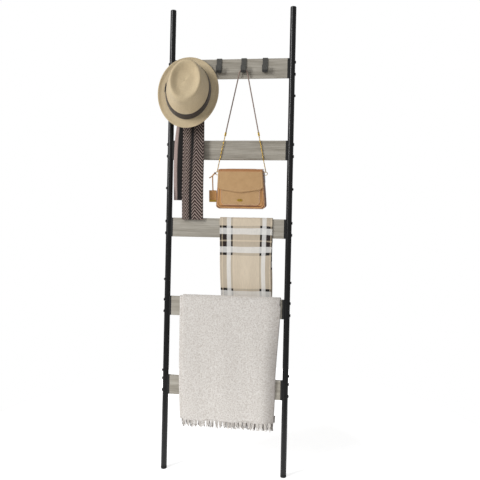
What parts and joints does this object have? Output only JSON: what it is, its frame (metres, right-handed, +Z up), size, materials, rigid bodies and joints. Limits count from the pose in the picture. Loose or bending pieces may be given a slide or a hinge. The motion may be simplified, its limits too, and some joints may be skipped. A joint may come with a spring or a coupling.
{
  "type": "quilt on a rack",
  "caption": "Leaning ladder rack with a fringed throw over a rung, scarves over a rung and a hook, a hat and a shoulder bag on sliding hooks.",
  "frame": {"origin": "on the floor, midway between the two feet, where the rail axes meet the floor", "axes": "+Z up, +X to the right of someone facing the rack, +Y back towards the wall that the rack leans on"},
  "size_m": [0.5033, 0.2757, 1.7023],
  "materials": {
    "black_steel": "satin powder coat",
    "greige_board": "greige wood-look laminate",
    "saddle_plastic": "matte",
    "cap_plastic": "satin",
    "foot_rubber": "matte",
    "insert_brass": "plain",
    "screw_black": "black oxide",
    "hook_steel": "satin",
    "hat_felt": "woven straw and felt",
    "hat_ribbon": "grosgrain",
    "sweat_leather": "smooth",
    "herringbone_wool": "herringbone weave",
    "tan_leather": "pebbled",
    "gold_metal": "polished",
    "pale_metal": "satin",
    "strap_leather": "smooth",
    "plaid_cloth": "plaid twill",
    "boucle_cloth": "looped boucle"
  },
  "bodies": {
    "rack": {"left_tube_1": "black_steel", "left_tube_2": "black_steel", "left_tube_3": "black_steel", "left_tube_4": "black_steel", "left_tube_5": "black_steel", "right_tube_1": "black_steel", "right_tube_2": "black_steel", "right_tube_3": "black_steel", "right_tube_4": "black_steel", "right_tube_5": "black_steel", "left_top_cap": "cap_plastic", "right_top_cap": "cap_plastic", "left_foot": "foot_rubber", "right_foot": "foot_rubber", "rung_1": "greige_board", "rung_2": "greige_board", "rung_3": "greige_board", "rung_4": "greige_board", "rung_5": "greige_board", "rung_1_saddles": "saddle_plastic", "rung_2_saddles": "saddle_plastic", "rung_3_saddles": "saddle_plastic", "rung_4_saddles": "saddle_plastic", "rung_5_saddles": "saddle_plastic", "rung_bolts": "screw_black", "rung_inserts": "insert_brass", "joint_screws": "screw_black"},
    "hook_1": {"hook_1": "hook_steel"},
    "hook_2": {"hook_2": "hook_steel"},
    "hook_3": {"hook_3": "hook_steel"},
    "hook_4": {"hook_4": "hook_steel"},
    "hat": {"hat_body": "hat_felt", "hat_band": "hat_ribbon", "hat_bow": "hat_ribbon", "hat_sweatband": "sweat_leather"},
    "herringbone_scarf": {"herringbone_scarf": "herringbone_wool"},
    "bag": {"bag_body": "tan_leather", "bag_divider": "tan_leather", "bag_pocket": "tan_leather", "bag_clasp_plate": "gold_metal", "bag_magnet_base": "gold_metal", "bag_side_tabs": "pale_metal", "bag_rings": "gold_metal", "bag_chain_left": "gold_metal", "bag_chain_right": "gold_metal", "bag_strap_buckles": "gold_metal", "bag_strap": "strap_leather"},
    "bag_flap": {"bag_flap": "tan_leather", "bag_magnet_flap": "gold_metal"},
    "bag_tag": {"bag_tag_strap": "tan_leather", "bag_tag": "tan_leather", "bag_tag_trim": "gold_metal"},
    "plaid_scarf": {"plaid_scarf": "plaid_cloth"},
    "throw": {"throw": "boucle_cloth", "throw_fringe": "boucle_cloth"}
  },
  "joints": [
    {"name": "hook_1_slide", "type": "slide", "parent": "rack", "child": "hook_1", "axis": [1, 0, 0], "range_m": [0, 0.0025]},
    {"name": "hook_2_slide", "type": "slide", "parent": "rack", "child": "hook_2", "axis": [1, 0, 0], "range_m": [0, 0.05]},
    {"name": "hook_3_slide", "type": "slide", "parent": "rack", "child": "hook_3", "axis": [1, 0, 0], "range_m": [-0.01, 0.03]},
    {"name": "hook_4_slide", "type": "slide", "parent": "rack", "child": "hook_4", "axis": [1, 0, 0], "range_m": [-0.02, 0.07]},
    {"name": "hat_lift", "type": "slide", "parent": "hook_1", "child": "hat", "axis": [0, -0.5, 0.866], "range_m": [0, 0.35]},
    {"name": "herringbone_swing", "type": "hinge", "parent": "hook_1", "child": "herringbone_scarf", "pos_m": [-0.147, 0.20234, 1.47429], "axis": [1, 0, 0], "range_deg": [-6, 0]},
    {"name": "bag_swing", "type": "hinge", "parent": "hook_3", "child": "bag", "pos_m": [0.0478, 0.20234, 1.47429], "axis": [-1, 0, 0], "range_deg": [0, 28]},
    {"name": "bag_flap_hinge", "type": "hinge", "parent": "bag", "child": "bag_flap", "pos_m": [0.0465, 0.185, 1.1096], "axis": [-1, 0, 0], "range_deg": [0, 42]},
    {"name": "bag_tag_swing", "type": "hinge", "parent": "bag", "child": "bag_tag", "pos_m": [-0.04382, 0.16, 1.097], "axis": [1, 0, 0], "range_deg": [-15, 15]},
    {"name": "plaid_slide", "type": "slide", "parent": "rack", "child": "plaid_scarf", "axis": [1, 0, 0], "range_m": [-0.06, 0.03]},
    {"name": "throw_lift", "type": "slide", "parent": "rack", "child": "throw", "axis": [0, 0, 1], "range_m": [0, 0.52]}
  ]
}
